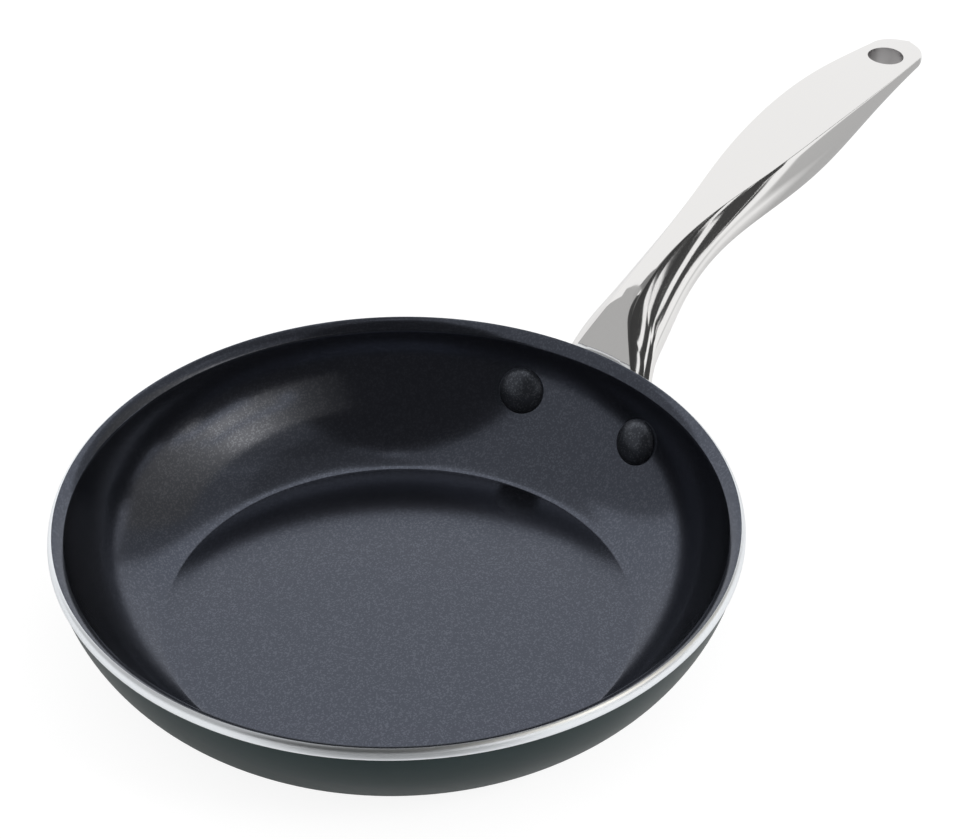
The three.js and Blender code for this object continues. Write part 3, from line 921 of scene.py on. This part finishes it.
# Each card: its name, its level, and its azimuths and elevations in degrees, seen from the pan's middle.
for name, level, azimuths, elevations in (
    ("card_behind_camera", 0.01, (225, 311), (-10, 86)),
    ("card_left", 0.42, (152, 225), (-10, 78)),
    ("card_left_top", 0.42, (137, 152), (50, 78)),
    ("card_top_right", 0.17, (-45, 45), (78, 90)),
    ("card_top_back", 0.2, (45, 135), (80.5, 90)),
    ("card_top_left", 0.4, (135, 225), (78, 90)),
    ("card_front_right_low", 0.01, (311, 357), (-10, 20)),
    ("card_front_right_high", 0.25, (311, 344), (46, 61)),
    ("card_front_right_top", 0.13, (311, 344), (61, 78)),
    ("card_right_near", 0.55, (357, 360), (8, 62)),
    ("card_right_near_top", 0.3, (344, 357), (46, 62)),
    ("card_right", 0.31, (360, 402), (8, 62)),
    ("card_right_top", 0.19, (344, 402), (62, 78)),
    ("flag_low", 0.02, (341, 353.5), (-2, 9)),
    ("flag_line", 0.04, (353.5, 359), (4.5, 9)),
):
    card(name, level, azimuths, elevations)

# %% [markdown]
# ## Light for the bowl alone
# The softbox gives the bowl's wall its long highlight. The polished handle would mirror it as a hard
# white patch, so these cards are linked to the pan only. In the handle they are dark, with bright strips
# in front of them that draw its streaks. One low card lights the bead alone, along the front.

# %% Softbox and strips
WARM = (1, 0.93, 0.8)
STRIP_RADIUS = 1.9
SOFTBOX_RADIUS = 1.95
STRIP_LEVEL = 0.95
BEAD_CARD_LEVEL = 1.0
SOFTBOX_TOP = 47
SOFTBOX_FOOT, SOFTBOX_SIDE_FOOT = 17, 11
SOFTBOX_SIDE = 342  # from here on the softbox reaches lower
pan_only = bpy.data.collections.new("lit by the softbox")
for piece in (lining, body, coat):
    pan_only.objects.link(piece)
softbox_levels = (
    (290, 0.13), (298, 0.25), (306, 0.45), (314, 0.85), (322, 1.45), (330, 1.9), (342, 1.15),
    (349, 0.8), (357, 0.58), (366, 0.45), (376, 0.36), (390, 0),
)
for (start, level), (end, _) in zip(softbox_levels, softbox_levels[1:]):
    low_edge = SOFTBOX_FOOT if end <= SOFTBOX_SIDE else SOFTBOX_SIDE_FOOT
    panel = card(f"softbox_{start}", level, (start, end), (low_edge, SOFTBOX_TOP), WARM, SOFTBOX_RADIUS)
    panel.light_linking.receiver_collection = pan_only
bead_only = bpy.data.collections.new("lit along the bead")
bead_only.objects.link(body)
bead_card = card("card_bead", BEAD_CARD_LEVEL, (290, 341), (-2, 15.5), distance=SOFTBOX_RADIUS)
bead_card.light_linking.receiver_collection = bead_only
for name, azimuths, elevations in (
    ("strip_low", (323, 349.5), (15.5, 20.5)),
    ("strip_low_end", (349.5, 354.5), (11.5, 17)),
    ("strip_high", (312, 345.5), (29, 33.5)),
    ("strip_high_end", (345.5, 348.3), (24.6, 29)),
    ("strip_high_foot", (308, 312.5), (23, 30)),
):
    card(name, STRIP_LEVEL, azimuths, elevations, distance=STRIP_RADIUS)
print("panels of the softbox:", len(softbox_levels) - 1)

# %% [markdown]
# ## The lamp and the camera
# One soft lamp, hidden from mirrors, gives the table its shadow. The camera stands well back with a long
# lens, so the rim stays an even ellipse, and it leans by less than a degree.

# %% Lamp
lamp = bpy.data.lights.new("softbox", "AREA")
lamp.shape = "SQUARE"
lamp.size = 0.5
lamp.energy = 6
softbox = bpy.data.objects.new("softbox", lamp)
bpy.context.scene.collection.objects.link(softbox)
softbox.location = around(328, 38, 1.6)
softbox.rotation_euler = softbox.location.to_track_quat("Z", "Y").to_euler()
softbox.visible_glossy = False

# %% Camera
FOCAL_PIXELS = 5000
IMAGE_WIDTH = 970
CAMERA_HEIGHT = math.radians(37.43)
CAMERA_ROLL = math.radians(-0.71)
REACH = (0.02564, 0.02924, 1.4481)  # right, up and back from the middle of the rim, in metres

right = Vector((1, 0, 0))
ahead = Vector((0, math.cos(CAMERA_HEIGHT), -math.sin(CAMERA_HEIGHT)))
up = Vector((0, math.sin(CAMERA_HEIGHT), math.cos(CAMERA_HEIGHT)))
level_right = math.cos(CAMERA_ROLL) * right + math.sin(CAMERA_ROLL) * up
level_up = -math.sin(CAMERA_ROLL) * right + math.cos(CAMERA_ROLL) * up
spot = REACH[0] * level_right + REACH[1] * level_up - REACH[2] * ahead
axes = Matrix((level_right, level_up, -ahead)).transposed().to_4x4()
eye = bpy.data.cameras.new("camera")
eye.sensor_width = 36
eye.lens = FOCAL_PIXELS * eye.sensor_width / IMAGE_WIDTH
camera = bpy.data.objects.new("camera", eye)
bpy.context.scene.collection.objects.link(camera)
turned = Matrix.Rotation(CAMERA_TURN, 4, "Z")
camera.matrix_world = Matrix.Translation((0, 0, PAN_HEIGHT * MM)) @ turned @ Matrix.Translation(spot) @ axes
bpy.context.scene.camera = camera
bpy.context.scene.view_settings.view_transform = "Standard"
print(f"lens {eye.lens:.1f} mm, camera at {tuple(round(c, 3) for c in camera.matrix_world.translation)}")
